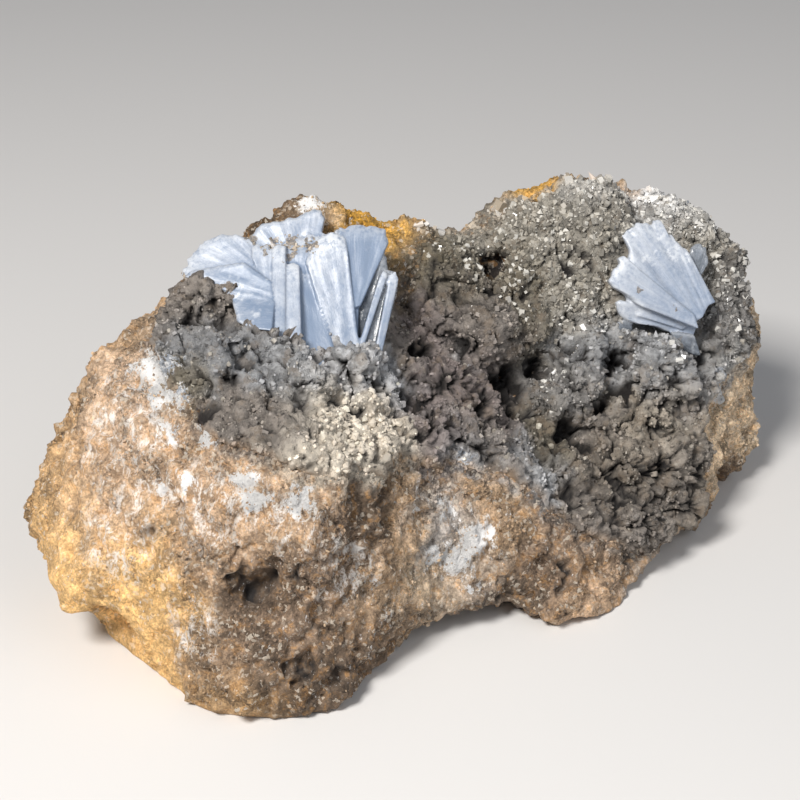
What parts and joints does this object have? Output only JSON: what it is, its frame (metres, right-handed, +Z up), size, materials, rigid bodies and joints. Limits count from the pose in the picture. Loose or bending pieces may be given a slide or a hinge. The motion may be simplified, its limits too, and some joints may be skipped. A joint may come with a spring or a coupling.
{
  "type": "barite crystal specimen on limonite",
  "caption": "Hand-sized mineral specimen: pale blue barite blades on a dark crystal crust over a rusty limonite block.",
  "frame": {"origin": "on the floor under the middle of the specimen's box", "axes": "+X along the specimen's length to the viewer's right, +Z up, -Y towards the crystal side"},
  "size_m": [0.1388, 0.0724, 0.0624],
  "materials": {
    "limonite": "rough, earthy, rusty ochre to brown with white calcite specks",
    "crust": "knobbly dark grey-brown crust with small sparkling crystals",
    "barite": "pale blue, cloudy and half clear, glassy to pearly"
  },
  "bodies": {
    "root": {"matrix": "limonite", "crust": "crust", "barite_spray_left": "barite", "barite_spray_right": "barite"}
  },
  "joints": []
}
